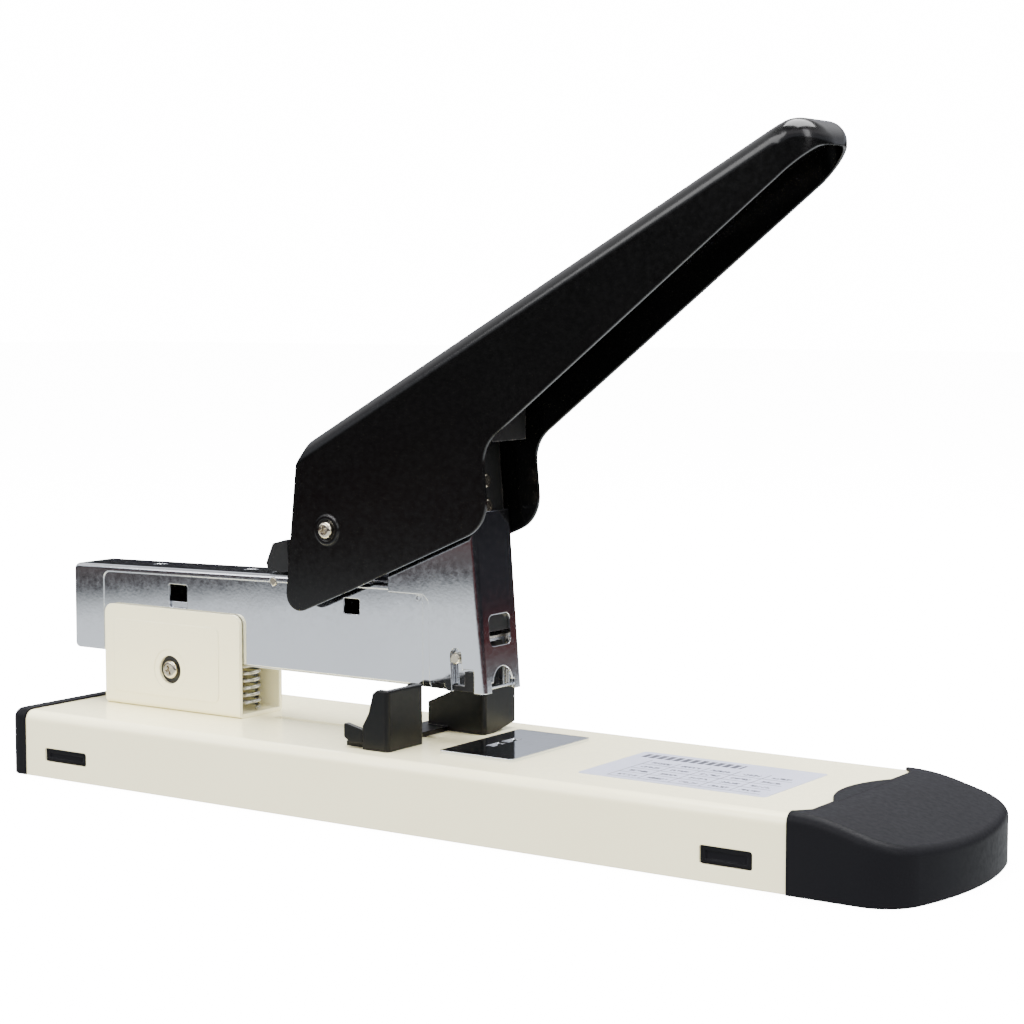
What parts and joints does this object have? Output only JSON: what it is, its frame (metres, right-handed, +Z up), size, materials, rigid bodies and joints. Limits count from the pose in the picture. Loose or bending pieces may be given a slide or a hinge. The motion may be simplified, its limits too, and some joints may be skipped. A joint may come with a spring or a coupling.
{
  "type": "heavy-duty stapler",
  "caption": "Long-base heavy-duty stapler with a lever handle, rear-hinged chromed magazine frame, driver ram, anvil plate and sliding paper guide.",
  "frame": {"origin": "on the table, under the centre of the base", "axes": "+X along the base towards the front cap, +Z up, +Y to the far side with the front cap to the right"},
  "size_m": [0.2956, 0.0694, 0.1855],
  "materials": {
    "cream_paint": "gloss enamel",
    "black_enamel": "gloss enamel",
    "cap_plastic": "fine spark-eroded texture",
    "guide_plastic": "satin moulded",
    "lever_plastic": "satin moulded",
    "chrome_plate": "bright plated sheet",
    "nickel": "nickel plated",
    "spring_steel": "bright drawn wire",
    "steel_sheet": "zinc plated sheet",
    "black_oxide": "black oxide",
    "staple_wire": "galvanised wire",
    "label_paper": "satin printed film",
    "foot_rubber": "matt"
  },
  "bodies": {
    "base": {"base_shell": "cream_paint", "bottom_plate": "steel_sheet", "rubber_feet": "foot_rubber", "bottom_screws": "nickel", "rear_cap": "cap_plastic", "front_cap": "cap_plastic", "spec_label": "label_paper", "anvil_plate": "chrome_plate", "hinge_bracket": "cream_paint", "bracket_rivets": "nickel", "pivot_bush": "black_oxide", "pivot_screw": "nickel", "pivot_nut": "nickel", "return_spring": "spring_steel"},
    "magazine": {"magazine_rail": "chrome_plate", "staple_core": "steel_sheet", "staple_strip": "staple_wire", "magazine_nose": "black_oxide", "latch_pin": "nickel", "follower_spring_tail": "spring_steel", "spring_anchor": "steel_sheet"},
    "follower": {"staple_follower": "guide_plastic", "follower_spring_roll": "spring_steel", "follower_axle": "nickel"},
    "upper_frame": {"frame_channel": "chrome_plate", "front_housing": "chrome_plate", "housing_rivets": "nickel", "handle_bracket": "steel_sheet", "pedestal_rivets": "nickel", "lever_pin": "nickel"},
    "handle": {"handle_shell": "black_enamel", "handle_bush": "steel_sheet", "handle_screw": "nickel", "handle_nut": "nickel", "handle_spring": "spring_steel", "link_pin": "steel_sheet"},
    "ram": {"ram_block": "black_oxide", "driver_blade": "black_oxide", "ram_rivets": "nickel"},
    "opening_lever": {"opening_lever": "lever_plastic"},
    "paper_guide": {"paper_guide": "guide_plastic", "guide_clamp": "steel_sheet", "guide_screw": "nickel"},
    "guide_release": {"guide_release": "guide_plastic"}
  },
  "joints": [
    {"name": "jaw_close", "type": "hinge", "parent": "base", "child": "magazine", "pos_m": [-0.106, 0, 0.0317], "axis": [0, 1, 0], "range_deg": [0, 7], "stiffness_Nm_per_rad": 3.2, "springref_deg": -22.92, "deforming": ["return_spring"]},
    {"name": "frame_lift", "type": "hinge", "parent": "magazine", "child": "upper_frame", "pos_m": [-0.106, 0, 0.0317], "axis": [0, 1, 0], "range_deg": [-20, 0]},
    {"name": "handle_press", "type": "hinge", "parent": "upper_frame", "child": "handle", "pos_m": [-0.0427, 0, 0.0772], "axis": [0, 1, 0], "range_deg": [0, 21], "stiffness_Nm_per_rad": 0.5, "springref_deg": -45.84},
    {"name": "ram_drive", "type": "slide", "parent": "upper_frame", "child": "ram", "axis": [0.0785, 0, -0.9969], "range_m": [0, 0.01626]},
    {"name": "follower_slide", "type": "slide", "parent": "magazine", "child": "follower", "axis": [1, 0, 0], "range_m": [-0.04, 0], "stiffness_N_per_m": 40, "springref_m": 0.12},
    {"name": "lever_push", "type": "hinge", "parent": "upper_frame", "child": "opening_lever", "pos_m": [-0.0668, 0, 0.0606], "axis": [0, 1, 0], "range_deg": [0, 12], "stiffness_Nm_per_rad": 0.02, "springref_deg": -17.19},
    {"name": "guide_slide", "type": "slide", "parent": "base", "child": "paper_guide", "axis": [1, 0, 0], "range_m": [-0.045, 0]},
    {"name": "guide_release_press", "type": "slide", "parent": "paper_guide", "child": "guide_release", "axis": [0, 1, 0], "range_m": [0, 0.0012], "stiffness_N_per_m": 300, "springref_m": -0.0008}
  ],
  "couplings": [
    {"joint": "ram_drive", "follows": "handle_press", "m_per_rad": 0.04431}
  ]
}
